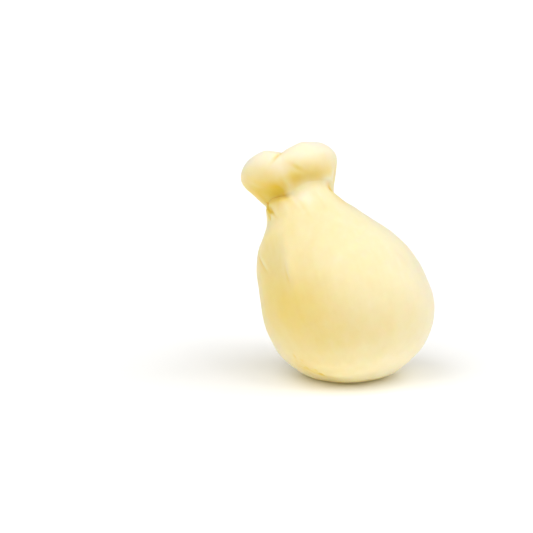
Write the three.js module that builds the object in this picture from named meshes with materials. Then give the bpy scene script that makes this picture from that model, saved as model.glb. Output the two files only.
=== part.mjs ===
// Scamorza: a pear-shaped stretched-curd cheese with a drawn-in neck and a head of five folded lobes.
// Millimetres, +Z up. The cheese leans on its belly and rests on the small flat that its weight has
// pressed there. The origin is the middle of that flat, below the middle of the belly.
// +X is to the right of the side shown, -Y faces the viewer of that side.
//
// The skin is one closed surface: a meridian (radius against height on the cheese's own axis) carried
// round the axis, then pushed in or out along its normal by pleats, swells, the neck groove and dents.
// Angles round the axis count from +X towards +Y, so 270 is the front. Heights count from the neck.

import * as THREE from 'three';

const DEG = Math.PI / 180;

// Body: the full pear from the neck down to its round end
const NECK_RADIUS = 17.2;
const BELLY_RADIUS = 40.3;
const BELLY_DROP = 55.9;
const END_DROP = 92.9;
const END_FULLNESS = 24.0;
const END_ROUNDING = 22.8;
const SHOULDER_ROUNDING = 28.6;
const THROAT_FLARE = 1.6;
const THROAT_LENGTH = 12.0;

// The belly hangs to the right of the neck, most of the shift coming just below the neck
const BELLY_SHIFT = 20.4;
const BELLY_SHIFT_REACH = 49.6;
const DEPTH_SHARE = 0.97;

// Head: widest part, rolled rim and the pit where all pleats meet
const HEAD_RADIUS = 23.2;
const HEAD_RISE = 14.2;
const HEAD_SHIFT = -1.2;
const RIM_RADIUS = 13.0;
const RIM_RISE = 22.6;
const RIM_ROUNDING = 5.5;
const PIT_RISE = 15.5;
const PIT_DEPTH = 3.0;
const PIT_MOUTH = 4.0;
const PIT_SLOPE = 1.5;
const UNDERSIDE_FLARE = 1.6;
const UNDERSIDE_RISE = 4.0;
const CHEEK_BELOW = 6.5;
const CHEEK_ABOVE = 5.2;

// Body and head meet in a crease at the neck, and this near to it the skin is pushed level
const THROAT_REACH = 5.0;

// Stance: lean away from the front, lean to the left, and the height of the belly's middle
const LEAN_BACK = 24.3 * DEG;
const LEAN_LEFT = 12.7 * DEG;
const BELLY_HEIGHT = 35.2;

// Foot that the weight spreads: how far it bulges aside at the floor, the height up to which it does so,
// the distance from the middle from which on it bulges in full, and the rounding of the flat's edge
const FOOT_SPREAD = 2.6;
const FOOT_REACH = 9.0;
const FOOT_RADIUS = 14.0;
const FLAT_EDGE = 0.6;

// Shares of the way from the neck to the pit: where the pleats have swung to their rim angle, where
// they begin to swirl into the pit, where all run out into the pit, where a lobe's swell begins and
// ends, and where the head has shifted aside
const SWING_END = 0.45;
const SWIRL_START = 0.5;
const PIT_START = 0.8;
const SWELL_START = 0.05;
const SWELL_END = 0.95;
const SHIFT_END = 0.23;

// Pleats of the head in order round the axis: angle at the neck, at the rim and in the pit; depth;
// reach of the lip before and after the crease; crispness at the neck and at the rim
const PLEATS = [
  { neck: 256, rim: 260, pit: 268, depth: 3.0, before: 9, after: 12, low: 0.2, high: 0.4 },
  { neck: 345, rim: 385, pit: 392, depth: 3.2, before: 9, after: 9, low: 0.1, high: 0.6 },
  { neck: 425, rim: 428, pit: 438, depth: 3.2, before: 9, after: 9, low: 0.1, high: 0.6 },
  { neck: 472, rim: 476, pit: 488, depth: 2.4, before: 8, after: 8, low: 0.1, high: 0.6 },
  { neck: 520, rim: 516, pit: 528, depth: 3.2, before: 9, after: 9, low: 0.1, high: 0.6 },
];

// Share of the way up the head where each pleat starts, and the share over which it grows
const PLEAT_GROWTH = [
  { start: 0.36, length: 0.3 },
  { start: 0.3, length: 0.35 },
  { start: 0.08, length: 0.3 },
  { start: 0.15, length: 0.3 },
  { start: 0.05, length: 0.3 },
];

// Lobe that follows each pleat: columns of the skin, swell, the arch of the neck line under it, the
// shares of the lobe's width over which the arch rises and falls, and its tilt up towards the lobe's end
const LOBES = [
  { columns: 22, swell: 1.2, arch: 3.2, rise: 0.35, fall: 0.3, tilt: 0.3 },
  { columns: 11, swell: 0.8, arch: 0.8, rise: 0.5, fall: 0.5, tilt: 0 },
  { columns: 11, swell: 0.8, arch: 0.8, rise: 0.5, fall: 0.5, tilt: 0 },
  { columns: 9, swell: 0.6, arch: 0.6, rise: 0.5, fall: 0.5, tilt: 0 },
  { columns: 19, swell: 1.7, arch: 0.6, rise: 0.5, fall: 0.5, tilt: 0 },
];

// Stretches of the neck groove under the lobes: first and last angle, the angles over which each sets
// in and ends, depth, reach up the head and down the body, and crispness of its crease
const UNDERCUTS = [
  { first: 155, last: 259, rise: 40, fall: 18, depth: 2.0, up: 11, down: 3.5, crisp: 0.4 },
  { first: 350, last: 440, rise: 45, fall: 45, depth: 2.4, up: 10, down: 4, crisp: 0.5 },
  { first: 410, last: 490, rise: 40, fall: 40, depth: 2.2, up: 10, down: 4, crisp: 0.5 },
  { first: 460, last: 530, rise: 35, fall: 35, depth: 2.2, up: 10, down: 4, crisp: 0.5 },
];

// Stretch of the neck at the front right where the skin runs on from the body to the lobe: its angles as
// above, how far it fills the crease, and its reach up and down
const FILLET = { first: 255, last: 352, rise: 14, fall: 42, height: 1.3, reach: 8 };

// Droop of the front lobes where the head is widest: its angles as above, how far they hang, and the
// stretches of the meridian that it takes up
const DROOP = { first: 200, last: 350, rise: 40, fall: 80, drop: 2.2, stages: 1.7 };

// Neck line: its sink and its tilt as a whole, and how far from it they reach
const NECK_SINK = 1.4;
const NECK_TILT = 1.6;
const NECK_REACH = 14.0;

// Dents of the skin: angle, height, half width, half length and depth, which is minus for a ridge
const DENTS = [
  { angle: 212, height: -20.5, width: 10, length: 6, depth: -2.1 },
  { angle: 213, height: -35, width: 8, length: 8, depth: 1.8 },
  { angle: 221, height: -48, width: 12, length: 11, depth: 1.7 },
  { angle: 234, height: -35, width: 3.6, length: 12, depth: -1.4 },
  { angle: 272, height: -7, width: 12, length: 4.5, depth: -1.2 },
  { angle: 188, height: -25, width: 12, length: 9, depth: -1.5 },
  { angle: 186, height: -45, width: 14, length: 9, depth: 0.8 },
  { angle: 0, height: -18, width: 16, length: 14, depth: 0.5 },
  { angle: 270, height: 5, width: 4, length: 4, depth: 0.7 },
  { angle: 260, height: 6, width: 3.5, length: 8, depth: -0.4 },
  { angle: 264, height: 15, width: 5, length: 6, depth: 0.7 },
  { angle: 323, height: 4, width: 6, length: 6, depth: -2.0 },
  { angle: 350, height: 5, width: 9, length: 8, depth: 0.9 },
  { angle: 195, height: 7, width: 10, length: 5, depth: 2.2 },
];

// Rows of the skin in each stretch of the meridian: end, shoulder, underside of the head, rim, crown
const ROWS = [12, 22, 12, 10, 7];
const BELLY_STAGE = 1;
const NECK_STAGE = 2;

const CHEESE_COLOUR = 0xf1df9e;
const CHEESE_ROUGHNESS = 0.55;

const clamp = (t) => Math.min(Math.max(t, 0), 1);

// Smooth step from 0 to 1
const ease = (t) => clamp(t) ** 2 * (3 - 2 * clamp(t));

// Soft hollow: 1 in the middle, falling smoothly to 0
const hollow = (t) => 1 - ease(t);

// Crisp fold: 1 in the crease, its lip a quarter circle that ends at 0
const fold = (t) => 1 - Math.sqrt(1 - (1 - clamp(t)) ** 2);

const mix = (a, b, t) => a + (b - a) * t;

// Difference of two angles in degrees, from -180 to 180
const turn = (a, b) => THREE.MathUtils.euclideanModulo(a - b + 180, 360) - 180;

const belowNeck = (height) => Math.max(0, -height);

const axisShift = (height) =>
  (BELLY_SHIFT * belowNeck(height)) / (belowNeck(height) + BELLY_SHIFT_REACH);

// Meridian as five joined curves, radius against height, from the middle of the round end to the pit
function meridianCurves() {
  const stretches = [
    [[0, -END_DROP], [END_FULLNESS, -END_DROP], [BELLY_RADIUS, -BELLY_DROP - END_ROUNDING]],
    [[BELLY_RADIUS, -BELLY_DROP], [BELLY_RADIUS, SHOULDER_ROUNDING - BELLY_DROP],
      [NECK_RADIUS + THROAT_FLARE, -THROAT_LENGTH]],
    [[NECK_RADIUS, 0], [NECK_RADIUS + UNDERSIDE_FLARE, UNDERSIDE_RISE],
      [HEAD_RADIUS, HEAD_RISE - CHEEK_BELOW]],
    [[HEAD_RADIUS, HEAD_RISE], [HEAD_RADIUS, HEAD_RISE + CHEEK_ABOVE],
      [RIM_RADIUS + RIM_ROUNDING, RIM_RISE]],
    [[RIM_RADIUS, RIM_RISE], [RIM_RADIUS - RIM_ROUNDING, RIM_RISE], [PIT_MOUTH, PIT_RISE + PIT_SLOPE]],
    [[0, PIT_RISE]],
  ].map((stretch) => stretch.map(([radius, height]) => new THREE.Vector2(radius, height)));
  return ROWS.map((_, k) => new THREE.CubicBezierCurve(...stretches[k], stretches[k + 1][0]));
}

// Points of the meridian: place, outward normal, and `stage`, which counts the stretches run through.
// The normal turns level near the neck, where the meridian has its crease.
function meridianRows() {
  const rows = [];
  meridianCurves().forEach((curve, k) => {
    const last = k === ROWS.length - 1 ? ROWS[k] : ROWS[k] - 1;
    for (let i = 0; i <= last; i += 1) {
      const t = i / ROWS[k];
      const place = curve.getPoint(t);
      const level = hollow(Math.hypot(place.x - NECK_RADIUS, place.y) / THROAT_REACH);
      const along = curve.getTangent(t).lerp(new THREE.Vector2(0, 1), level).normalize();
      rows.push({ radius: place.x, height: place.y, out: along.y, up: -along.x, stage: k + t });
    }
  });
  return rows;
}

// Columns of the skin: the lobe each belongs to and how far across that lobe it lies
function skinColumns() {
  return LOBES.flatMap((lobe, k) =>
    Array.from({ length: lobe.columns }, (_, i) => ({ lobe: k, share: i / lobe.columns })));
}

// Share of the head gone through at a stage of the meridian, 0 at the neck and 1 in the pit
const headShare = (row) => (row.stage - NECK_STAGE) / (ROWS.length - NECK_STAGE);

// How far a pleat has swung from its neck angle to its rim angle
const rimShare = (row) => ease(headShare(row) / SWING_END);

function pleatAngle(pleat, row) {
  const upper = mix(pleat.rim, pleat.pit, ease((headShare(row) - SWIRL_START) / (1 - SWIRL_START)));
  return mix(pleat.neck, upper, rimShare(row));
}

// Angle of a column: even round the belly, following the pleats from the neck up
function columnAngle(column, index, count, row) {
  const next = column.lobe + 1;
  const from = pleatAngle(PLEATS[column.lobe], row);
  const to = next < PLEATS.length ? pleatAngle(PLEATS[next], row) : pleatAngle(PLEATS[0], row) + 360;
  const even = PLEATS[0].neck + (360 * index) / count;
  return mix(even, mix(from, to, column.share), ease(row.stage - BELLY_STAGE));
}

// Depth of the pleats at one place of the head, running out into one pit
function pleatDepth(row, angle) {
  const depths = PLEATS.map((pleat, k) => {
    const side = row.radius * turn(angle, pleatAngle(pleat, row)) * DEG;
    const t = Math.abs(side) / (side < 0 ? pleat.before : pleat.after);
    const crisp = mix(pleat.low, pleat.high, rimShare(row));
    const grown = ease((headShare(row) - PLEAT_GROWTH[k].start) / PLEAT_GROWTH[k].length);
    return pleat.depth * grown * mix(hollow(t), fold(t), crisp);
  });
  return mix(Math.max(...depths), PIT_DEPTH, ease((headShare(row) - PIT_START) / (1 - PIT_START)));
}

// Swell of a lobe, greatest in its middle
function lobeSwell(row, column) {
  const rise = Math.sin(Math.PI * clamp((headShare(row) - SWELL_START) / (SWELL_END - SWELL_START)));
  return LOBES[column.lobe].swell * Math.sin(Math.PI * column.share) * rise;
}

// Distance from the neck line, plus on the head and minus on the body
function neckDistance(row) {
  return Math.hypot(row.radius - NECK_RADIUS, row.height) * (row.stage < NECK_STAGE ? -1 : 1);
}

// How much of a stretch round the axis shows at an angle, setting in and ending smoothly
const stretchShare = (stretch, angle) =>
  ease(turn(angle, stretch.first) / stretch.rise) * ease(turn(stretch.last, angle) / stretch.fall);

// Depth of the neck groove at one place, less what the fillet fills
function grooveDepth(row, angle) {
  const distance = neckDistance(row);
  const near = clamp(1 - Math.abs(distance) / FILLET.reach);
  return UNDERCUTS.reduce((sum, part) => {
    const t = Math.abs(distance) / (distance < 0 ? part.down : part.up);
    return sum + part.depth * stretchShare(part, angle) * mix(hollow(t), fold(t), part.crisp);
  }, -FILLET.height * stretchShare(FILLET, angle) * near * near);
}

function dentDepth(row, angle) {
  return DENTS.reduce((sum, dent) => {
    const across = (row.radius * turn(angle, dent.angle) * DEG) / dent.width;
    const along = (row.height - dent.height) / dent.length;
    return sum + dent.depth * Math.exp(-across * across - along * along);
  }, 0);
}

// Rise of the neck line: arched under each lobe, sunk and tilted down to the right as a whole
function neckLift(row, column, angle) {
  const lobe = LOBES[column.lobe];
  const tilted = lobe.arch * (1 + lobe.tilt * (2 * column.share - 1));
  const arch = tilted * ease(column.share / lobe.rise) * ease((1 - column.share) / lobe.fall);
  const fade = hollow(Math.abs(neckDistance(row)) / NECK_REACH);
  return (arch - NECK_SINK - NECK_TILT * Math.cos(angle * DEG)) * fade;
}

// How far the front lobes hang at one place
function cheekDrop(row, angle) {
  const risen = clamp((row.stage - NECK_STAGE) / DROOP.stages);
  return DROOP.drop * stretchShare(DROOP, angle) * Math.sin(Math.PI * risen) ** 2;
}

// Height after the floor has pressed a flat with a rounded edge into the belly
function pressed(height) {
  if (height <= -FLAT_EDGE) return 0;
  if (height >= FLAT_EDGE) return height;
  return (height + FLAT_EDGE) ** 2 / (4 * FLAT_EDGE);
}

// Leans a point about the belly's middle and sets it on the floor, the foot spread aside
function settled(point) {
  const placed = point.clone().applyEuler(new THREE.Euler(-LEAN_BACK, -LEAN_LEFT, 0));
  const height = placed.z + BELLY_HEIGHT;
  const spread = FOOT_SPREAD * (1 - clamp(height / FOOT_REACH)) ** 2;
  const stretch = 1 + spread / Math.max(Math.hypot(placed.x, placed.y), FOOT_RADIUS);
  return new THREE.Vector3(placed.x * stretch, placed.y * stretch, pressed(height));
}

// One point of the skin in the cheese's resting place
function skinPoint(row, column, angle) {
  const push = lobeSwell(row, column) - pleatDepth(row, angle) - grooveDepth(row, angle)
    - dentDepth(row, angle);
  const reach = row.radius + push * row.out;
  const shift = axisShift(row.height) + HEAD_SHIFT * ease(headShare(row) / SHIFT_END);
  const lift = neckLift(row, column, angle) - cheekDrop(row, angle);
  return settled(new THREE.Vector3(
    shift + reach * Math.cos(angle * DEG) - axisShift(-BELLY_DROP),
    DEPTH_SHARE * reach * Math.sin(angle * DEG),
    row.height + push * row.up + lift + BELLY_DROP,
  ));
}

function buildSkin() {
  const rows = meridianRows();
  const columns = skinColumns();
  const count = columns.length;
  const rings = rows.slice(1, -1);
  const points = rings.flatMap((row) =>
    columns.map((column, i) => skinPoint(row, column, columnAngle(column, i, count, row))));
  const end = points.length;
  const pit = end + 1;
  points.push(skinPoint(rows[0], columns[0], 0), skinPoint(rows[rows.length - 1], columns[0], 0));

  const faces = [];
  const top = (rings.length - 1) * count;
  for (let j = 0; j < count; j += 1) {
    const k = (j + 1) % count;
    faces.push(end, k, j);
    for (let low = 0; low < top; low += count) {
      const high = low + count;
      faces.push(low + j, low + k, high + k, low + j, high + k, high + j);
    }
    faces.push(top + j, top + k, pit);
  }

  const skin = new THREE.BufferGeometry().setFromPoints(points);
  skin.setIndex(faces);
  skin.computeVertexNormals();
  return skin;
}

const cheese = new THREE.Mesh(
  buildSkin(),
  new THREE.MeshStandardMaterial({ color: CHEESE_COLOUR, roughness: CHEESE_ROUGHNESS }),
);
cheese.name = 'scamorza';

const part = new THREE.Group();
part.name = 'scamorza_cheese';
part.add(cheese);

export default part;
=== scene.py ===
"""Scamorza: the finished skin of a pear-shaped stretched-curd cheese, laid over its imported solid.

The skin is one closed surface. A meridian, radius against height on the cheese's own axis, is carried
round that axis and then pushed in or out along its normal by pleats, swells, the neck groove and dents.
Sizes in the dataclasses are millimetres, as in a maker's notes, and meshes are metres. Angles round the
axis are degrees from +X towards +Y, so that 270 is the front. Heights count from the neck, head up.
"""

import logging
import math
from collections.abc import Sequence
from dataclasses import dataclass, field
from enum import Enum
from typing import Any

import bpy
import numpy as np
from mathutils import Euler, Matrix, Vector


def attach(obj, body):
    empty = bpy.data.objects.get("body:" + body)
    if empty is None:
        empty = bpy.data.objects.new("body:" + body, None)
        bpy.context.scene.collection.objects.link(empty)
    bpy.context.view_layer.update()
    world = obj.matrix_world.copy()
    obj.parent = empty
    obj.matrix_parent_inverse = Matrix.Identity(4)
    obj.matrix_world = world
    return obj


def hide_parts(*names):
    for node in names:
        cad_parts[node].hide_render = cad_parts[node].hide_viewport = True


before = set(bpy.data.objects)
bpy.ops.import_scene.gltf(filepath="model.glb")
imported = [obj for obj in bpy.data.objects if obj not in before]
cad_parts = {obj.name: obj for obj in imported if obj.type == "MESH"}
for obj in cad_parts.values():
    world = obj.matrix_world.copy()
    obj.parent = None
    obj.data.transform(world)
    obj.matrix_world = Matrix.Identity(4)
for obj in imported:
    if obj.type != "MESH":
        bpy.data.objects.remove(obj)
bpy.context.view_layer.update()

MM = 0.001
NODE = "scamorza"
BODY = "root"

# Least length that a division is made by
TINY = 1e-9

# Places of the colour sockets on Blender's mix node, whose names repeat for each kind of data
MIX_SHARE = 0
MIX_FIRST = 6
MIX_SECOND = 7
MIX_RESULT = 2

log = logging.getLogger("scamorza")


def ease(t: np.ndarray) -> np.ndarray:
    """Smooth step from 0 to 1."""
    held = np.clip(t, 0.0, 1.0)
    return held * held * (3.0 - 2.0 * held)


def hollow(t: np.ndarray) -> np.ndarray:
    """Section of a soft hollow: 1 in the middle, falling smoothly to 0."""
    return 1.0 - ease(t)


def fold(t: np.ndarray) -> np.ndarray:
    """Section of a crisp fold: 1 in the crease, its lip a quarter circle that ends at 0."""
    return 1.0 - np.sqrt(1.0 - (1.0 - np.clip(t, 0.0, 1.0)) ** 2)


def mix(a: Any, b: Any, t: Any) -> Any:
    """Value a share t of the way from a to b."""
    return a + (b - a) * t


def turn(a: np.ndarray, b: np.ndarray) -> np.ndarray:
    """Difference of two angles in degrees, from -180 to 180."""
    return np.mod(a - b + 180.0, 360.0) - 180.0


@dataclass(frozen=True)
class Pleat:
    """One crease of the head, from the neck over the rim into the pit.

    The angles are those at the neck, the rim and the pit, `before` and `after` the reach of its two lips,
    `low` and `high` how crisp it is at the neck and at the rim. It grows from the head share `start` on,
    over the share `growth`.
    """

    neck: float
    rim: float
    pit: float
    depth: float
    before: float
    after: float
    low: float
    high: float
    start: float
    growth: float


@dataclass(frozen=True)
class Lobe:
    """The lobe that follows a pleat: its columns of the skin, its swell and the arch of the neck under it.

    The arch rises and falls over the shares `rise` and `fall` of the lobe's width, and `tilt` is the share
    by which it is higher at the lobe's end and lower at its start.
    """

    columns: int
    swell: float
    arch: float
    rise: float = 0.5
    fall: float = 0.5
    tilt: float = 0.0

    def arch_at(self, share: np.ndarray) -> np.ndarray:
        """Height of the arch at each share of the lobe's width."""
        tilted = self.arch * (1.0 + self.tilt * (2.0 * share - 1.0))
        return tilted * ease(share / self.rise) * ease((1.0 - share) / self.fall)


@dataclass(frozen=True)
class Undercut:
    """A deeper stretch of the neck groove under a lobe.

    It runs from the angle `first` to `last`, sets in over `rise` and ends over `fall`. `up` and `down` are
    its reach over the head and the body, and `crisp` says how sharp its crease is. `fill` is how far the
    crease is filled up again, as where the skin runs on unbroken over `fill_reach`. `groove_shade` is the
    share of painted shade, a deeper yellow for the shade in the groove, most so `groove_shade_at` above the
    neck line, fading over `groove_shade_up` above and `groove_shade_down` below.
    """

    first: float
    last: float
    rise: float
    fall: float
    depth: float
    up: float
    down: float
    crisp: float
    fill: float = 0.0
    fill_reach: float = 6.0
    groove_shade: float = 0.3
    groove_shade_at: float = 2.0
    groove_shade_up: float = 7.0
    groove_shade_down: float = 2.0

    def share(self, angle: np.ndarray) -> np.ndarray:
        """How much of the depth shows at each angle."""
        return ease(turn(angle, self.first) / self.rise) * ease(turn(self.last, angle) / self.fall)

    def section(self, distance: np.ndarray) -> np.ndarray:
        """Depth of the groove across the neck line.

        Args:
            distance: Distances from the neck line, minus below it.

        Returns:
            The push inwards at each distance.
        """
        reach = np.abs(distance) / np.where(distance < 0.0, self.down, self.up)
        filled = np.clip(1.0 - np.abs(distance) / self.fill_reach, 0.0, 1.0) ** 2
        return self.depth * mix(hollow(reach), fold(reach), self.crisp) - self.fill * filled

    def painted_groove_shade(self, angle: np.ndarray, distance: np.ndarray) -> np.ndarray:
        """Painted shade of the groove: how much deeper yellow stands for the shade under the lobe.

        Args:
            angle: Angles round the axis.
            distance: Distances from the neck line, minus below it.

        Returns:
            The share of painted shade at each place.
        """
        away = distance - self.groove_shade_at
        reach = away / np.where(away < 0.0, self.groove_shade_down, self.groove_shade_up)
        return self.groove_shade * self.share(angle) * np.exp(-(reach**2))


@dataclass(frozen=True)
class Dent:
    """A dent of the skin, or a ridge where the depth is negative; `slant` is its run aside per height."""

    angle: float
    height: float
    width: float
    length: float
    depth: float
    slant: float = 0.0


@dataclass(frozen=True)
class Patch:
    """A patch of painted shade or painted light, fading out all round; its width is in degrees."""

    angle: float
    height: float
    width: float
    length: float
    share: float

    def at(self, angle: np.ndarray, height: np.ndarray) -> np.ndarray:
        """How much of the patch shows at each angle and height."""
        aside, up = turn(angle, self.angle) / self.width, (height - self.height) / self.length
        return self.share * np.exp(-(aside**2) - up**2)


@dataclass(frozen=True)
class Rows:
    """Rows of the meridian as columns of numbers, so that they spread over the columns of the skin."""

    radius: np.ndarray
    height: np.ndarray
    out: np.ndarray
    up: np.ndarray
    stage: np.ndarray


@dataclass(frozen=True)
class Meridian:
    """The cheese's profile: full pear, throat, and the head with its rolled rim and pit."""

    neck_radius: float = 17.2
    belly_radius: float = 40.3
    belly_drop: float = 55.9
    end_drop: float = 92.9
    end_fullness: float = 24.0
    end_rounding: float = 22.8
    shoulder_rounding: float = 28.6
    throat_flare: float = 1.6
    throat_length: float = 12.0
    head_radius: float = 23.2
    head_rise: float = 14.2
    rim_radius: float = 13.0
    rim_rise: float = 22.6
    rim_rounding: float = 5.5
    pit_rise: float = 15.5
    pit_mouth: float = 4.0
    pit_slope: float = 1.5
    underside_flare: float = 1.6
    underside_rise: float = 4.0
    cheek_below: float = 6.5
    cheek_above: float = 5.2
    throat_reach: float = 5.0
    row_counts: tuple[int, ...] = (60, 75, 40, 40, 30)

    def handles(self) -> list[list[tuple[float, float]]]:
        """Corner points of the five joined curves.

        Returns:
            For each curve its start and two handles, then the pit on its own, as (radius, height).
        """
        return [
            [(0.0, -self.end_drop), (self.end_fullness, -self.end_drop),
             (self.belly_radius, -self.belly_drop - self.end_rounding)],
            [(self.belly_radius, -self.belly_drop),
             (self.belly_radius, self.shoulder_rounding - self.belly_drop),
             (self.neck_radius + self.throat_flare, -self.throat_length)],
            [(self.neck_radius, 0.0), (self.neck_radius + self.underside_flare, self.underside_rise),
             (self.head_radius, self.head_rise - self.cheek_below)],
            [(self.head_radius, self.head_rise), (self.head_radius, self.head_rise + self.cheek_above),
             (self.rim_radius + self.rim_rounding, self.rim_rise)],
            [(self.rim_radius, self.rim_rise), (self.rim_radius - self.rim_rounding, self.rim_rise),
             (self.pit_mouth, self.pit_rise + self.pit_slope)],
            [(0.0, self.pit_rise)],
        ]

    def rows(self) -> Rows:
        """Points of the profile from the middle of the round end to the pit.

        Returns:
            Their radius and height, their outward normal, and the stage, which counts the curves run
            through.
        """
        corners = self.handles()
        points, tangents, stages = [], [], []
        for k, count in enumerate(self.row_counts):
            p0, p1, p2 = (np.array(corner) for corner in corners[k])
            p3 = np.array(corners[k + 1][0])
            last = k == len(self.row_counts) - 1
            t = np.linspace(0.0, 1.0, count + 1)[: None if last else -1, None]
            s = 1.0 - t
            points.append(s**3 * p0 + 3 * s**2 * t * p1 + 3 * s * t**2 * p2 + t**3 * p3)
            tangents.append(s**2 * (p1 - p0) + 2 * s * t * (p2 - p1) + t**2 * (p3 - p2))
            stages.append(k + t)
        place, along, stage = (np.vstack(part) for part in (points, tangents, stages))
        level = hollow(np.hypot(place[:, :1] - self.neck_radius, place[:, 1:]) / self.throat_reach)
        along = along / np.linalg.norm(along, axis=1, keepdims=True)
        along = mix(along, np.array([0.0, 1.0]), level)
        along = along / np.linalg.norm(along, axis=1, keepdims=True)
        return Rows(place[:, :1], place[:, 1:], along[:, 1:], -along[:, :1], stage)


@dataclass(frozen=True)
class Stance:
    """How the cheese rests: its lean, the height of its belly's middle and the foot its weight spreads.

    The foot bulges aside by `foot_spread` at the floor, and less up to the height `foot_reach`. It bulges
    in full from the distance `foot_radius` from the middle on, and `flat_edge` rounds its edge at the
    floor.
    """

    lean_back: float = 24.3
    lean_left: float = 12.7
    belly_height: float = 35.2
    foot_spread: float = 2.6
    foot_reach: float = 9.0
    foot_radius: float = 14.0
    flat_edge: float = 0.6

    def lean(self) -> Matrix:
        """Rotation that leans the upright cheese to the left and then back."""
        return Euler((-math.radians(self.lean_back), -math.radians(self.lean_left), 0.0), "ZYX").to_matrix()

    def settle(self, points: np.ndarray) -> np.ndarray:
        """Leans points about the belly's middle and presses them flat against the floor.

        Args:
            points: Points measured from the belly's middle, their last axis x, y, z.

        Returns:
            The points in their resting place, the floor at height 0.
        """
        placed = points @ np.array(self.lean()).T
        edge = self.flat_edge
        height = placed[..., 2] + self.belly_height
        away = np.hypot(placed[..., 0], placed[..., 1])
        spread = self.foot_spread * (1.0 - np.clip(height / self.foot_reach, 0.0, 1.0)) ** 2
        placed[..., :2] *= (1.0 + spread / np.maximum(away, self.foot_radius))[..., None]
        rounded = (height + edge) ** 2 / (4.0 * edge)
        placed[..., 2] = np.where(height >= edge, height, np.where(height <= -edge, 0.0, rounded))
        return placed


@dataclass(frozen=True)
class Waves:
    """Faint unevenness of a hand-stretched skin, as seeded sine waves that cross at all angles.

    `closeness` bounds how many times closer together than `length` the crests of a wave may lie.
    """

    length: float
    height: float
    seed: int
    count: int = 28
    closeness: tuple[float, float] = (0.7, 1.4)

    def at(self, points: np.ndarray) -> np.ndarray:
        """Height of the unevenness at points of the skin.

        Args:
            points: Points in millimetres, their last axis x, y, z.

        Returns:
            The push outwards at each point.
        """
        draw = np.random.default_rng(self.seed)
        ways = draw.normal(size=(self.count, 3))
        ways *= 2.0 * math.pi / self.length / np.linalg.norm(ways, axis=1, keepdims=True)
        ways *= draw.uniform(*self.closeness, size=(self.count, 1))
        starts = draw.uniform(0.0, 2.0 * math.pi, size=self.count)
        total = np.zeros(points.shape[:-1])
        for way, start in zip(ways, starts):
            total += np.sin(points @ way + start)
        return self.height * total * math.sqrt(2.0 / self.count)


class Mark(Enum):
    """Kinds of small marks that handling leaves on the skin: half width, half length and depth."""

    GATHER = (1.3, 6.0, 0.14)
    FLAKE = (1.1, 0.8, 0.36)


@dataclass(frozen=True)
class Scatter:
    """Marks of one kind strewn over a patch of the skin.

    `angles` and `heights` bound the patch, and `slant` is the most that a mark runs aside per height,
    either way. `widths`, `lengths` and `depths` bound the size of a mark as shares of the kind's own.
    """

    kind: Mark
    count: int
    angles: tuple[float, float]
    heights: tuple[float, float]
    slant: float
    widths: tuple[float, float] = (0.6, 1.4)
    lengths: tuple[float, float] = (0.6, 1.3)
    depths: tuple[float, float] = (0.3, 1.0)

    def draw(self, rng: np.random.Generator) -> list[Dent]:
        """Draws the marks.

        Args:
            rng: Seeded source of the draws.

        Returns:
            The marks as dents.
        """
        width, length, depth = self.kind.value
        return [
            Dent(
                angle=rng.uniform(*self.angles),
                height=rng.uniform(*self.heights),
                width=width * rng.uniform(*self.widths),
                length=length * rng.uniform(*self.lengths),
                depth=depth * rng.uniform(*self.depths),
                slant=rng.uniform(-self.slant, self.slant),
            )
            for _ in range(self.count)
        ]


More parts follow.
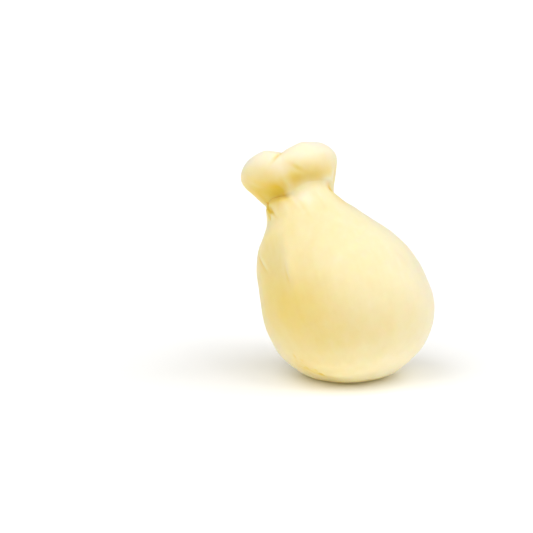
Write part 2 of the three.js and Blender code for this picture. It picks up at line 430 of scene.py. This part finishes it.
@dataclass(frozen=True)
class CheeseFinish:
    """Waxy pale skin: straw yellow, paler at random and faintly streaked along its pull.

    Painted shade, a deeper yellow in the folds, the groove, under the lobes and on the shaded flank, turns
    it towards `shade_gold`, and painted light, paler on the tops and the lit sides, towards `lit_pale`.
    `gloss` is the strength of its shine, `veil` that of the sheen at its edges, and `glow` the share of
    light that spreads below it. Sizes of the patterns are millimetres, those of the streaks across and
    along the pull. Straw turns to pale where the summed patterns go from `blend_half` under their middle to
    as much over it.
    """

    pale: tuple[float, float, float] = (0.855, 0.77, 0.488)
    straw: tuple[float, float, float] = (0.825, 0.72, 0.392)
    # Colour of the painted shade
    shade_gold: tuple[float, float, float] = (0.79, 0.568, 0.055)
    # Colour of the painted light
    lit_pale: tuple[float, float, float] = (0.86, 0.80, 0.615)
    roughness: tuple[float, float] = (0.40, 0.54)
    gloss: float = 0.25
    veil: float = 0.08
    glow: float = 1.0
    glow_radius: tuple[float, float, float] = (1.0, 0.7, 0.3)
    glow_depth: float = 7.0
    refraction: float = 1.5
    cloud_size: float = 30.0
    cloud_octaves: float = 3.0
    fleck_size: float = 5.0
    fleck_octaves: float = 4.0
    streak_size: tuple[float, float] = (5.0, 60.0)
    streak_octaves: float = 2.0
    blend_half: float = 0.4
    grain_size: float = 1.6
    grain_octaves: float = 2.0
    grain_height: float = 0.05
    grain_strength: float = 0.5

    def material(self, stance: Stance) -> bpy.types.Material:
        """Builds the skin's material.

        Args:
            stance: The lean that the streaks follow.

        Returns:
            The node-based material.
        """
        made = bpy.data.materials.new("cheese_skin")
        made.use_nodes = True
        tree = made.node_tree
        shader = tree.nodes["Principled BSDF"]
        place = tree.nodes.new("ShaderNodeTexCoord").outputs["Object"]

        cloud = self._noise(tree, place, 1.0 / (self.cloud_size * MM), self.cloud_octaves)
        streak = self._noise(tree, self._along_pull(tree, place, stance), 1.0, self.streak_octaves)
        fleck = self._noise(tree, place, 1.0 / (self.fleck_size * MM), self.fleck_octaves)
        blend = self._blend(tree, (cloud, streak, fleck))
        skin = self._colour(tree, self.straw, self.pale, blend)
        # The two attributes paint light and shade: paler where light falls, deeper yellow where shade
        # falls.
        for name, colour in (("painted_light", self.lit_pale), ("painted_shade", self.shade_gold)):
            spread = tree.nodes.new("ShaderNodeAttribute")
            spread.attribute_name = name
            skin = self._colour(tree, skin, colour, spread.outputs["Fac"])
        tree.links.new(skin, shader.inputs["Base Color"])

        grain = self._noise(tree, place, 1.0 / (self.grain_size * MM), self.grain_octaves)
        rough = tree.nodes.new("ShaderNodeMapRange")
        rough.inputs["To Min"].default_value, rough.inputs["To Max"].default_value = self.roughness
        tree.links.new(cloud, rough.inputs["Value"])
        tree.links.new(rough.outputs["Result"], shader.inputs["Roughness"])
        bump = tree.nodes.new("ShaderNodeBump")
        bump.inputs["Strength"].default_value = self.grain_strength
        bump.inputs["Distance"].default_value = self.grain_height * MM
        tree.links.new(grain, bump.inputs["Height"])
        tree.links.new(bump.outputs["Normal"], shader.inputs["Normal"])

        shader.inputs["Subsurface Weight"].default_value = self.glow
        shader.inputs["Subsurface Radius"].default_value = self.glow_radius
        shader.inputs["Subsurface Scale"].default_value = self.glow_depth * MM
        shader.inputs["IOR"].default_value = self.refraction
        shader.inputs["Specular IOR Level"].default_value = self.gloss
        shader.inputs["Sheen Weight"].default_value = self.veil
        return made

    def _along_pull(self, tree: bpy.types.NodeTree, place: bpy.types.NodeSocket,
                    stance: Stance) -> bpy.types.NodeSocket:
        """Coordinates that are long along the cheese's axis and short across it.

        Args:
            tree: The material's nodes.
            place: The coordinates to stretch.
            stance: The lean of the axis.

        Returns:
            The stretched coordinates.
        """
        across, along = self.streak_size
        upright = tree.nodes.new("ShaderNodeMapping")
        upright.vector_type = "TEXTURE"
        upright.inputs["Rotation"].default_value = stance.lean().to_euler("XYZ")
        upright.inputs["Scale"].default_value = (across * MM, across * MM, along * MM)
        tree.links.new(place, upright.inputs["Vector"])
        return upright.outputs["Vector"]

    @staticmethod
    def _noise(tree: bpy.types.NodeTree, place: bpy.types.NodeSocket, scale: float,
               octaves: float) -> bpy.types.NodeSocket:
        """Adds a noise.

        Args:
            tree: The material's nodes.
            place: The coordinates that it reads.
            scale: Its features per unit of those coordinates.
            octaves: How many finer layers it has.

        Returns:
            The noise's value.
        """
        noise = tree.nodes.new("ShaderNodeTexNoise")
        noise.inputs["Scale"].default_value = scale
        noise.inputs["Detail"].default_value = octaves
        tree.links.new(place, noise.inputs["Vector"])
        return noise.outputs["Fac"]

    def _blend(self, tree: bpy.types.NodeTree,
               patterns: tuple[bpy.types.NodeSocket, ...]) -> bpy.types.NodeSocket:
        """Sum of patterns, its contrast raised about the middle.

        Args:
            tree: The material's nodes.
            patterns: Patterns from 0 to 1.

        Returns:
            A share from 0 to 1.
        """
        total = patterns[0]
        for pattern in patterns[1:]:
            joined = tree.nodes.new("ShaderNodeMath")
            joined.operation = "ADD"
            tree.links.new(total, joined.inputs[0])
            tree.links.new(pattern, joined.inputs[1])
            total = joined.outputs["Value"]
        middle = 0.5 * len(patterns)
        spread = tree.nodes.new("ShaderNodeMapRange")
        spread.inputs["From Min"].default_value = middle - self.blend_half
        spread.inputs["From Max"].default_value = middle + self.blend_half
        tree.links.new(total, spread.inputs["Value"])
        return spread.outputs["Result"]

    @staticmethod
    def _colour(tree: bpy.types.NodeTree, first: Any, second: tuple[float, float, float],
                share: bpy.types.NodeSocket) -> bpy.types.NodeSocket:
        """Mixes two colours.

        Args:
            tree: The material's nodes.
            first: A colour, or the socket that gives one.
            second: The colour that a share of 1 shows.
            share: The share of the second colour.

        Returns:
            The mixed colour.
        """
        node = tree.nodes.new("ShaderNodeMix")
        node.data_type = "RGBA"
        start = node.inputs[MIX_FIRST]
        if isinstance(first, tuple):
            start.default_value = (*first, 1.0)
        else:
            tree.links.new(first, start)
        node.inputs[MIX_SECOND].default_value = (*second, 1.0)
        tree.links.new(share, node.inputs[MIX_SHARE])
        return node.outputs[MIX_RESULT]


@dataclass
class Scamorza:
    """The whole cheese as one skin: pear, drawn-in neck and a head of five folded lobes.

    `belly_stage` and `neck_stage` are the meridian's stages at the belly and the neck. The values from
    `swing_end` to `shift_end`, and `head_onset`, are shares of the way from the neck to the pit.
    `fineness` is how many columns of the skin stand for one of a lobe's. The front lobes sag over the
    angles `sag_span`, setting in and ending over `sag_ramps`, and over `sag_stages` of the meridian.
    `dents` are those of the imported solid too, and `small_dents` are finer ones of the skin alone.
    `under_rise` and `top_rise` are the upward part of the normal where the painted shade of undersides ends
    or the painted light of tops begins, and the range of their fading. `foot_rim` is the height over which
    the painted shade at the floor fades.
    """

    meridian: Meridian = field(default_factory=Meridian)
    stance: Stance = field(default_factory=Stance)
    finish: CheeseFinish = field(default_factory=CheeseFinish)

    belly_shift: float = 20.4
    belly_shift_reach: float = 49.6
    depth_share: float = 0.97
    head_shift: float = -1.2
    pit_depth: float = 3.0

    belly_stage: int = 1
    neck_stage: int = 2
    swing_end: float = 0.45
    swirl_start: float = 0.5
    pit_start: float = 0.8
    swell_start: float = 0.05
    swell_end: float = 0.95
    shift_end: float = 0.23

    pleats: tuple[Pleat, ...] = (
        Pleat(256, 260, 268, depth=3.0, before=9, after=12, low=0.2, high=0.4, start=0.36, growth=0.3),
        Pleat(345, 385, 392, depth=3.2, before=9, after=9, low=0.1, high=0.6, start=0.3, growth=0.35),
        Pleat(425, 428, 438, depth=3.2, before=9, after=9, low=0.1, high=0.6, start=0.08, growth=0.3),
        Pleat(472, 476, 488, depth=2.4, before=8, after=8, low=0.1, high=0.6, start=0.15, growth=0.3),
        Pleat(520, 516, 528, depth=3.2, before=9, after=9, low=0.1, high=0.6, start=0.05, growth=0.3),
    )
    lobes: tuple[Lobe, ...] = (
        Lobe(columns=22, swell=1.2, arch=3.2, rise=0.35, fall=0.3, tilt=0.3),
        Lobe(columns=11, swell=0.8, arch=0.8),
        Lobe(columns=11, swell=0.8, arch=0.8),
        Lobe(columns=9, swell=0.6, arch=0.6),
        Lobe(columns=19, swell=1.7, arch=0.6),
    )
    fineness: int = 5

    # Each undercut also paints shade into its groove, a deeper yellow under its lobe.
    undercuts: tuple[Undercut, ...] = (
        Undercut(155, 259, rise=40, fall=18, depth=2.0, up=11, down=3.5, crisp=0.4,
                 groove_shade=0.86, groove_shade_at=1.0, groove_shade_up=10.0, groove_shade_down=5.0),
        Undercut(255, 352, rise=14, fall=42, depth=0.0, up=12, down=5, crisp=0.0, fill=1.3, fill_reach=8,
                 groove_shade=0.5, groove_shade_at=7.0, groove_shade_up=7.0, groove_shade_down=6.0),
        Undercut(350, 440, rise=45, fall=45, depth=2.4, up=10, down=4, crisp=0.5),
        Undercut(410, 490, rise=40, fall=40, depth=2.2, up=10, down=4, crisp=0.5),
        Undercut(460, 530, rise=35, fall=35, depth=2.2, up=10, down=4, crisp=0.5),
    )
    neck_sink: float = 1.4
    neck_tilt: float = 1.6
    neck_reach: float = 14.0
    cheek_sag: float = 2.2
    sag_span: tuple[float, float] = (200.0, 350.0)
    sag_ramps: tuple[float, float] = (40.0, 80.0)
    sag_stages: float = 1.7

    dents: tuple[Dent, ...] = (
        Dent(212, -20.5, width=10, length=6, depth=-2.1),
        Dent(213, -35, width=8, length=8, depth=1.8),
        Dent(221, -48, width=12, length=11, depth=1.7),
        Dent(234, -35, width=3.6, length=12, depth=-1.4),
        Dent(272, -7, width=12, length=4.5, depth=-1.2),
        Dent(188, -25, width=12, length=9, depth=-1.5),
        Dent(186, -45, width=14, length=9, depth=0.8),
        Dent(0, -18, width=16, length=14, depth=0.5),
        Dent(270, 5, width=4, length=4, depth=0.7),
        Dent(260, 6, width=3.5, length=8, depth=-0.4),
        Dent(264, 15, width=5, length=6, depth=0.7),
        Dent(323, 4, width=6, length=6, depth=-2.0),
        Dent(350, 5, width=9, length=8, depth=0.9),
        Dent(195, 7, width=10, length=5, depth=2.2),
    )
    small_dents: tuple[Dent, ...] = (
        Dent(229, -41, width=0.9, length=5, depth=0.25),
        Dent(276, 11, width=1.6, length=2.4, depth=0.35, slant=-0.9),
        Dent(198, -29, width=1.0, length=4.5, depth=0.6, slant=-0.73),
        Dent(202, -30.5, width=1.3, length=4.5, depth=-0.45, slant=-0.73),
        Dent(190, -2, width=1.2, length=2.6, depth=0.8, slant=-0.9),
        Dent(199, -4, width=1.2, length=3.0, depth=0.8, slant=-0.9),
        Dent(208, -5, width=1.3, length=3.0, depth=0.6, slant=-0.9),
        Dent(203, -8.5, width=1.0, length=2.6, depth=0.4, slant=-0.9),
        Dent(214, -8, width=1.1, length=3.0, depth=0.4, slant=-0.9),
        Dent(254.5, 18.6, width=1.2, length=2.6, depth=0.6, slant=1.0),
        Dent(321, -2.5, width=2.0, length=2.2, depth=1.1),
    )
    waves: tuple[Waves, ...] = (Waves(30.0, 0.22, seed=3), Waves(11.0, 0.08, seed=8))
    scatters: tuple[Scatter, ...] = (
        Scatter(Mark.GATHER, count=46, angles=(0.0, 360.0), heights=(-9.0, -3.0), slant=0.3),
        Scatter(Mark.FLAKE, count=26, angles=(184.0, 206.0), heights=(-90.0, -76.0), slant=0.8),
    )
    marks_seed: int = 21

    head_onset: float = 0.06
    # Painted shade: deeper yellow on undersides, in pleats, small dents and marks, and at the floor.
    underside_shade: float = 0.3
    under_rise: tuple[float, float] = (0.3, 1.2)
    top_rise: tuple[float, float] = (0.0, 0.7)
    pleat_shade: float = 0.08
    mark_shade: float = 0.8
    foot_shade: float = 0.42
    foot_rim: float = 2.6
    # Patches of painted shade: left flank, lower edge, head dimples, both neck ends; negative ones remove
    # it.
    shade_patches: tuple[Patch, ...] = (
        Patch(204, -46, width=32, length=27, share=0.47),
        Patch(235, -58, width=25, length=16, share=0.39),
        Patch(238, -26, width=22, length=18, share=0.1),
        Patch(262, -76, width=70, length=10, share=0.2),
        Patch(192, -84, width=20, length=7, share=0.42),
        Patch(270, 5.5, width=9, length=4, share=0.15),
        Patch(264, 13, width=10, length=7, share=0.1),
        Patch(254, 6, width=5, length=3.5, share=0.35),
        Patch(230, 11.5, width=18, length=4, share=0.09),
        Patch(198, -5, width=14, length=4, share=0.3),
        Patch(318, -8, width=9, length=4, share=0.35),
        Patch(316, 3, width=8, length=2.8, share=-0.6),
        Patch(327, 5.5, width=5, length=3.5, share=-0.4),
        Patch(348, 4, width=11, length=6, share=0.6),
    )
    # Patches of painted light: lit right side, flank ridge, lower left edge, front shoulder, neck's right
    # end.
    light_patches: tuple[Patch, ...] = (
        Patch(340, -55, width=50, length=60, share=0.55),
        Patch(232, -36, width=6, length=11, share=0.55),
        Patch(188, -76, width=16, length=15, share=0.6),
        Patch(272, -5, width=20, length=5, share=0.9),
        Patch(319, 3, width=9, length=2.8, share=0.35),
    )

    def marks(self) -> list[Dent]:
        """Gathers drawn from the neck all round, and flakes on the lower left edge."""
        rng = np.random.default_rng(self.marks_seed)
        return [mark for scatter in self.scatters for mark in scatter.draw(rng)]

    def axis_shift(self, height: np.ndarray) -> np.ndarray:
        """How far the axis lies to the right at a height, the belly hanging aside of the neck."""
        drop = np.maximum(0.0, -height)
        return self.belly_shift * drop / (drop + self.belly_shift_reach)

    def head_share(self, rows: Rows) -> np.ndarray:
        """Share of the head gone through at each row, 0 at the neck and 1 in the pit."""
        return (rows.stage - self.neck_stage) / (len(self.meridian.row_counts) - self.neck_stage)

    def rim_share(self, rows: Rows) -> np.ndarray:
        """How far the pleats have swung from their neck angle to their rim angle at each row."""
        return ease(self.head_share(rows) / self.swing_end)

    def pleat_angle(self, pleat: Pleat, rows: Rows) -> np.ndarray:
        """Angle of a pleat at each row."""
        swirl = ease((self.head_share(rows) - self.swirl_start) / (1.0 - self.swirl_start))
        return mix(pleat.neck, mix(pleat.rim, pleat.pit, swirl), self.rim_share(rows))

    def columns(self) -> tuple[np.ndarray, np.ndarray]:
        """Columns of the skin.

        Returns:
            The lobe that each belongs to, and how far across that lobe it lies.
        """
        counts = [lobe.columns * self.fineness for lobe in self.lobes]
        owner = np.repeat(np.arange(len(counts)), counts)
        share = np.concatenate([np.arange(count) / count for count in counts])
        return owner, share

    def column_angles(self, rows: Rows, owner: np.ndarray, share: np.ndarray) -> np.ndarray:
        """Angle of every point: even round the belly, following the pleats from the neck up.

        Args:
            rows: Rows of the meridian.
            owner: The lobe of each column.
            share: How far across its lobe each column lies.

        Returns:
            Angles in degrees, rows by columns.
        """
        ring = [self.pleat_angle(pleat, rows) for pleat in self.pleats]
        ring = np.hstack([*ring, ring[0] + 360.0])
        followed = mix(ring[:, owner], ring[:, owner + 1], share)
        even = self.pleats[0].neck + 360.0 * np.arange(len(owner)) / len(owner)
        return mix(even, followed, ease(rows.stage - self.belly_stage))

    def pleat_depth(self, rows: Rows, angle: np.ndarray) -> np.ndarray:
        """Depth of the pleats at every point, all running out into one pit.

        Args:
            rows: Rows of the meridian.
            angle: Angle of every point.

        Returns:
            The push inwards.
        """
        deepest = np.zeros_like(angle)
        for pleat in self.pleats:
            side = rows.radius * np.radians(turn(angle, self.pleat_angle(pleat, rows)))
            reach = np.abs(side) / np.where(side < 0.0, pleat.before, pleat.after)
            crisp = mix(pleat.low, pleat.high, self.rim_share(rows))
            grown = ease((self.head_share(rows) - pleat.start) / pleat.growth)
            deepest = np.maximum(deepest, pleat.depth * grown * mix(hollow(reach), fold(reach), crisp))
        run_out = ease((self.head_share(rows) - self.pit_start) / (1.0 - self.pit_start))
        return mix(deepest, self.pit_depth, run_out)

    def lobe_swell(self, rows: Rows, owner: np.ndarray, share: np.ndarray) -> np.ndarray:
        """Swell of the lobes at every point, greatest in the middle of each.

        Args:
            rows: Rows of the meridian.
            owner: The lobe of each column.
            share: How far across its lobe each column lies.

        Returns:
            The push outwards.
        """
        swell = np.array([lobe.swell for lobe in self.lobes])[owner]
        risen = (self.head_share(rows) - self.swell_start) / (self.swell_end - self.swell_start)
        return swell * np.sin(math.pi * share) * np.sin(math.pi * np.clip(risen, 0.0, 1.0))

    def neck_distance(self, rows: Rows) -> np.ndarray:
        """Distance of each row from the neck line, plus on the head and minus on the body."""
        apart = np.hypot(rows.radius - self.meridian.neck_radius, rows.height)
        return np.where(rows.stage < self.neck_stage, -apart, apart)

    def groove(self, rows: Rows, angle: np.ndarray) -> np.ndarray:
        """Depth of the neck groove at every point, as a push inwards."""
        distance = self.neck_distance(rows)
        return sum(part.share(angle) * part.section(distance) for part in self.undercuts)

    def valley_shade(self, rows: Rows, angle: np.ndarray) -> np.ndarray:
        """Painted shade of the neck groove at every point, a deeper yellow under the lobes."""
        distance = self.neck_distance(rows)
        return sum(part.painted_groove_shade(angle, distance) for part in self.undercuts)

    def dent_depth(self, dents: Sequence[Dent], rows: Rows, angle: np.ndarray) -> np.ndarray:
        """Depth of a set of dents at every point.

        Args:
            dents: The dents and ridges.
            rows: Rows of the meridian.
            angle: Angle of every point.

        Returns:
            The push inwards.
        """
        total = np.zeros_like(angle)
        for dent in dents:
            up = rows.height - dent.height
            aside = rows.radius * np.radians(turn(angle, dent.angle)) - dent.slant * up
            total += dent.depth * np.exp(-((aside / dent.width) ** 2) - (up / dent.length) ** 2)
        return total

    def neck_lift(self, rows: Rows, owner: np.ndarray, share: np.ndarray, angle: np.ndarray) -> np.ndarray:
        """Rise of the neck line: arched under each lobe, sunk and tilted down to the right as a whole.

        Args:
            rows: Rows of the meridian.
            owner: The lobe of each column.
            share: How far across its lobe each column lies.
            angle: Angle of every point.

        Returns:
            The push upwards along the axis.
        """
        arch = np.choose(owner, [lobe.arch_at(share) for lobe in self.lobes])
        fade = hollow(np.abs(self.neck_distance(rows)) / self.neck_reach)
        return (arch - self.neck_sink - self.neck_tilt * np.cos(np.radians(angle))) * fade

    def cheek_drop(self, rows: Rows, angle: np.ndarray) -> np.ndarray:
        """Droop of the lobes at the front, greatest where the head is widest.

        Args:
            rows: Rows of the meridian.
            angle: Angle of every point.

        Returns:
            The push downwards along the axis.
        """
        first, last = self.sag_span
        rise, fall = self.sag_ramps
        front = ease(turn(angle, first) / rise) * ease(turn(last, angle) / fall)
        risen = np.clip((rows.stage - self.neck_stage) / self.sag_stages, 0.0, 1.0)
        return self.cheek_sag * front * np.sin(math.pi * risen) ** 2

    def skin(self) -> tuple[np.ndarray, np.ndarray, np.ndarray]:
        """Works the skin out.

        Returns:
            Points in their resting place, rows by columns by x, y, z, and the painted shade and painted
            light at each.
        """
        rows = self.meridian.rows()
        owner, share = self.columns()
        angle = self.column_angles(rows, owner, share)
        pleats = self.pleat_depth(rows, angle)
        groove = self.groove(rows, angle)
        large = self.dent_depth(self.dents, rows, angle)
        small = self.dent_depth([*self.small_dents, *self.marks()], rows, angle)
        push = self.lobe_swell(rows, owner, share) - pleats - groove - large - small
        smooth_form = self._place(rows, owner, share, angle, push)
        push = push + sum(wave.at(smooth_form) for wave in self.waves)
        settled = self.stance.settle(self._place(rows, owner, share, angle, push))
        painted_shade, painted_light = self.tones(rows, angle, settled, pleats, small)
        return settled, painted_shade, painted_light

    def tones(self, rows: Rows, angle: np.ndarray, settled: np.ndarray, pleats: np.ndarray,
              small: np.ndarray) -> tuple[np.ndarray, np.ndarray]:
        """Painted shade and painted light on the skin at every point.

        Args:
            rows: Rows of the meridian.
            angle: Angle of every point.
            settled: Points in their resting place.
            pleats: Depth of the pleats.
            small: Depth of the small dents and marks.

        Returns:
            Shares of painted shade and of painted light, from 0 to 1.
        """
        rise = self._rise_of_normal(settled)
        head = ease(self.head_share(rows) / self.head_onset)
        # Painted shade on the head's undersides, by how far the normal points down
        under = self.underside_shade * ease((self.under_rise[0] - rise) / self.under_rise[1])
        top = ease((rise - self.top_rise[0]) / self.top_rise[1])
        # Painted shade in the pleats, small dents and marks, the groove, at the floor and in patches
        painted_shade = head * under + self.pleat_shade * pleats + self.mark_shade * small
        painted_shade = painted_shade + self.valley_shade(rows, angle)
        painted_shade = painted_shade + self.foot_shade * np.exp(-((settled[..., 2] / self.foot_rim) ** 2))
        painted_shade = painted_shade + sum(patch.at(angle, rows.height) for patch in self.shade_patches)
        # Painted light on the head's tops and in patches
        painted_light = head * top + sum(patch.at(angle, rows.height) for patch in self.light_patches)
        return np.clip(painted_shade, 0.0, 1.0), np.clip(painted_light, 0.0, 1.0)

    @staticmethod
    def _rise_of_normal(points: np.ndarray) -> np.ndarray:
        """Upward part of the skin's outward normal at every point.

        Args:
            points: Points of the skin, rows by columns by x, y, z.

        Returns:
            The upward part, from -1 to 1.
        """
        along = np.gradient(points, axis=0)
        across = np.roll(points, -1, axis=1) - np.roll(points, 1, axis=1)
        normal = np.cross(across, along)
        return normal[..., 2] / np.maximum(np.linalg.norm(normal, axis=-1), TINY)

    def _place(self, rows: Rows, owner: np.ndarray, share: np.ndarray, angle: np.ndarray,
               push: np.ndarray) -> np.ndarray:
        """Places the skin about the belly's middle, upright.

        Args:
            rows: Rows of the meridian.
            owner: The lobe of each column.
            share: How far across its lobe each column lies.
            angle: Angle of every point.
            push: How far each point moves out along its normal.

        Returns:
            Points, rows by columns by x, y, z.
        """
        reach = rows.radius + push * rows.out
        head_shift = self.head_shift * ease(self.head_share(rows) / self.shift_end)
        shift = self.axis_shift(rows.height) + head_shift
        drop = self.meridian.belly_drop
        x = shift + reach * np.cos(np.radians(angle)) - self.axis_shift(np.array(-drop))
        y = self.depth_share * reach * np.sin(np.radians(angle))
        lift = self.neck_lift(rows, owner, share, angle) - self.cheek_drop(rows, angle)
        z = rows.height + push * rows.up + lift + drop
        return np.stack([x, y, z], axis=-1)

    def build(self) -> bpy.types.Object:
        """Builds the skin's mesh, closed by one point at the round end and one in the pit.

        Returns:
            The new object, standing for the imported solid.
        """
        points, painted_shade, painted_light = self.skin()
        rings, count = points.shape[0] - 2, points.shape[1]
        inner = points[1:-1].reshape(-1, 3)
        ends = np.array([points[0].mean(axis=0), points[-1].mean(axis=0)])
        vertices = np.vstack([inner, ends]) * MM
        index = np.arange(rings * count).reshape(rings, count)
        low, high = index[:-1], index[1:]
        quads = np.stack([low, np.roll(low, -1, 1), np.roll(high, -1, 1), high], axis=-1).reshape(-1, 4)
        first, last = index[0], index[-1]
        end, pit = np.full(count, rings * count), np.full(count, rings * count + 1)
        caps = np.vstack([
            np.stack([end, np.roll(first, -1), first], axis=-1),
            np.stack([last, np.roll(last, -1), pit], axis=-1),
        ])
        mesh = bpy.data.meshes.new("scamorza_skin")
        mesh.from_pydata(vertices.tolist(), [], quads.tolist() + caps.tolist())
        # The painted shade and painted light go on as attributes that the material reads.
        for name, grid in (("painted_shade", painted_shade), ("painted_light", painted_light)):
            values = np.concatenate([grid[1:-1].ravel(), grid[0, :1], grid[-1, :1]]).astype(np.float32)
            mesh.attributes.new(name, "FLOAT", "POINT").data.foreach_set("value", values)
        mesh.shade_smooth()
        piece = bpy.data.objects.new("scamorza_skin", mesh)
        bpy.context.scene.collection.objects.link(piece)
        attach(piece, BODY)
        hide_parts(NODE)
        return piece

    def dress(self, piece: bpy.types.Object) -> None:
        """Gives the skin its finish."""
        piece.data.materials.append(self.finish.material(self.stance))


@dataclass(frozen=True)
class Lamp:
    """A broad studio light: the way it comes from, its strength and how wide it spreads in degrees."""

    name: str
    way: tuple[float, float, float]
    strength: float
    spread: float = 60.0

    def hang(self) -> bpy.types.Object:
        """Hangs the light.

        Returns:
            The lamp.
        """
        data = bpy.data.lights.new(self.name, "SUN")
        data.energy = self.strength
        data.angle = math.radians(self.spread)
        lamp = bpy.data.objects.new(self.name, data)
        lamp.rotation_mode = "QUATERNION"
        lamp.rotation_quaternion = (-Vector(self.way)).to_track_quat("-Z", "Y")
        bpy.context.scene.collection.objects.link(lamp)
        return lamp


@dataclass(frozen=True)
class PaperFinish:
    """Matt white paper."""

    white: float = 0.96
    roughness: float = 0.9
    gloss: float = 0.0

    def material(self) -> bpy.types.Material:
        """Builds the paper's material.

        Returns:
            The node-based material.
        """
        made = bpy.data.materials.new("floor_paper")
        made.use_nodes = True
        shader = made.node_tree.nodes["Principled BSDF"]
        shader.inputs["Base Color"].default_value = (self.white,) * 3 + (1.0,)
        shader.inputs["Roughness"].default_value = self.roughness
        shader.inputs["Specular IOR Level"].default_value = self.gloss
        return made


@dataclass(frozen=True)
class Studio:
    """White floor with three broad lights from above and a faint one from below, soft fill and the camera.

    The floor's sizes and the camera's distance are metres. `belly_pixel` is where the middle of the belly
    lies in the photograph, which is `frame_pixels` wide and high.
    """

    floor_half: float = 6.0
    floor_gap: float = 0.0002
    paper: PaperFinish = field(default_factory=PaperFinish)
    lamps: tuple[Lamp, ...] = (
        Lamp("front_light", (0.0, -0.5, 0.87), strength=1.19),
        Lamp("right_light", (0.7, -0.1, 0.7), strength=1.42),
        Lamp("left_light", (-0.6, -0.25, 0.76), strength=1.22),
        Lamp("table_light", (0.0, -0.1, -0.99), strength=0.52),
    )
    fill_strength: float = 0.2

    lens: float = 100.0
    sensor: float = 36.0
    elevation: float = 12.0
    distance: float = 0.705
    frame_pixels: float = 533.0
    belly_pixel: tuple[float, float] = (346.8, 304.4)

    def build_floor(self) -> bpy.types.Object:
        """Lays the pale floor just below the cheese; it casts no shadow, so light from below passes it.

        Returns:
            The floor.
        """
        half = self.floor_half
        level = -self.floor_gap
        corners = [(-half, -half, level), (half, -half, level), (half, half, level), (-half, half, level)]
        mesh = bpy.data.meshes.new("floor")
        mesh.from_pydata(corners, [], [(0, 1, 2, 3)])
        mesh.materials.append(self.paper.material())
        floor = bpy.data.objects.new("floor", mesh)
        bpy.context.scene.collection.objects.link(floor)
        floor.visible_shadow = False
        return floor

    def light(self) -> None:
        """Hangs the lamps and sets the fill."""
        for lamp in self.lamps:
            lamp.hang()
        world = bpy.data.worlds.new("fill")
        world.use_nodes = True
        sky = world.node_tree.nodes["Background"]
        sky.inputs["Color"].default_value = (1.0, 1.0, 1.0, 1.0)
        sky.inputs["Strength"].default_value = self.fill_strength
        bpy.context.scene.world = world
        bpy.context.scene.view_settings.view_transform = "Standard"

    def aim_camera(self, stance: Stance) -> bpy.types.Object:
        """Sets the camera at the photograph's viewing angle.

        Args:
            stance: Gives the height of the belly's middle, which the camera is placed by.

        Returns:
            The camera.
        """
        data = bpy.data.cameras.new("camera")
        data.lens = self.lens
        data.sensor_width = self.sensor
        tilt = math.radians(self.elevation)
        ahead = Vector((0.0, math.cos(tilt), -math.sin(tilt)))
        above = Vector((0.0, math.sin(tilt), math.cos(tilt)))
        pixel = self.distance * self.sensor / self.lens / self.frame_pixels
        right_by = (self.belly_pixel[0] - self.frame_pixels / 2) * pixel
        below_by = (self.belly_pixel[1] - self.frame_pixels / 2) * pixel
        belly = Vector((0.0, 0.0, stance.belly_height * MM))
        camera = bpy.data.objects.new("camera", data)
        camera.location = belly - self.distance * ahead - Vector((right_by, 0.0, 0.0)) + below_by * above
        camera.rotation_euler = (math.pi / 2 - tilt, 0.0, 0.0)
        bpy.context.scene.collection.objects.link(camera)
        bpy.context.scene.camera = camera
        return camera


def main() -> None:
    """Builds the cheese and its studio, and reports each piece."""
    logging.basicConfig(level=logging.INFO, format="%(name)s: %(message)s")
    cheese = Scamorza()
    skin = cheese.build()
    cheese.dress(skin)
    log.info("%s: %d faces on body %s", skin.name, len(skin.data.polygons), BODY)
    studio = Studio()
    floor = studio.build_floor()
    log.info("%s: stage", floor.name)
    studio.light()
    studio.aim_camera(cheese.stance)


if __name__ == "__main__":
    main()
